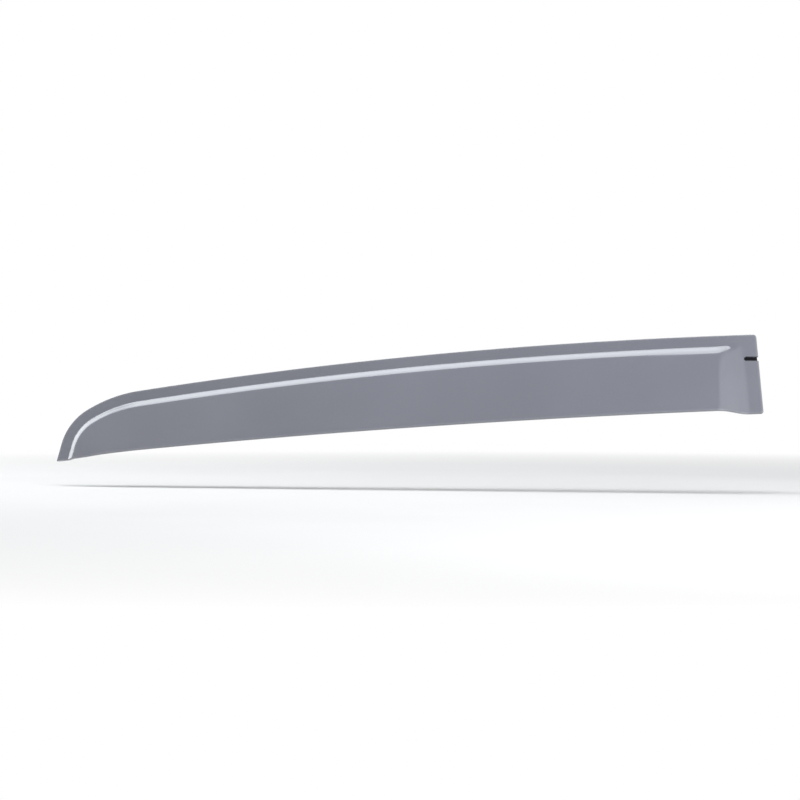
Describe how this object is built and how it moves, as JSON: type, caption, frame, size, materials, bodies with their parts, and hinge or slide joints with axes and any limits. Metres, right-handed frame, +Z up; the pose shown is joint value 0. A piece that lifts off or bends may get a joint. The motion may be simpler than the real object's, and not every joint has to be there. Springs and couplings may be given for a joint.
{
  "type": "window rain deflector",
  "caption": "Smoke-tinted formed sheet fixed over a car door's side window, so that it can stay a little open in the rain: flange, ledge, flared face and a tail that closes down to the rim.",
  "frame": {"origin": "middle of the back face of the pillar tape, on the surface of the door frame", "axes": "+X along the deflector towards the front of the car, +Y inboard, +Z up; the part leans inboard by 18 degrees, as it does on the door"},
  "size_m": [0.7245, 0.0469, 0.1287],
  "materials": {
    "smoke_acrylic": "polished smoke-grey acrylic",
    "foam_tape": "matte black closed-cell foam"
  },
  "bodies": {
    "root": {"deflector_shell": "smoke_acrylic", "top_tape": "foam_tape", "pillar_tape": "foam_tape"}
  },
  "joints": []
}
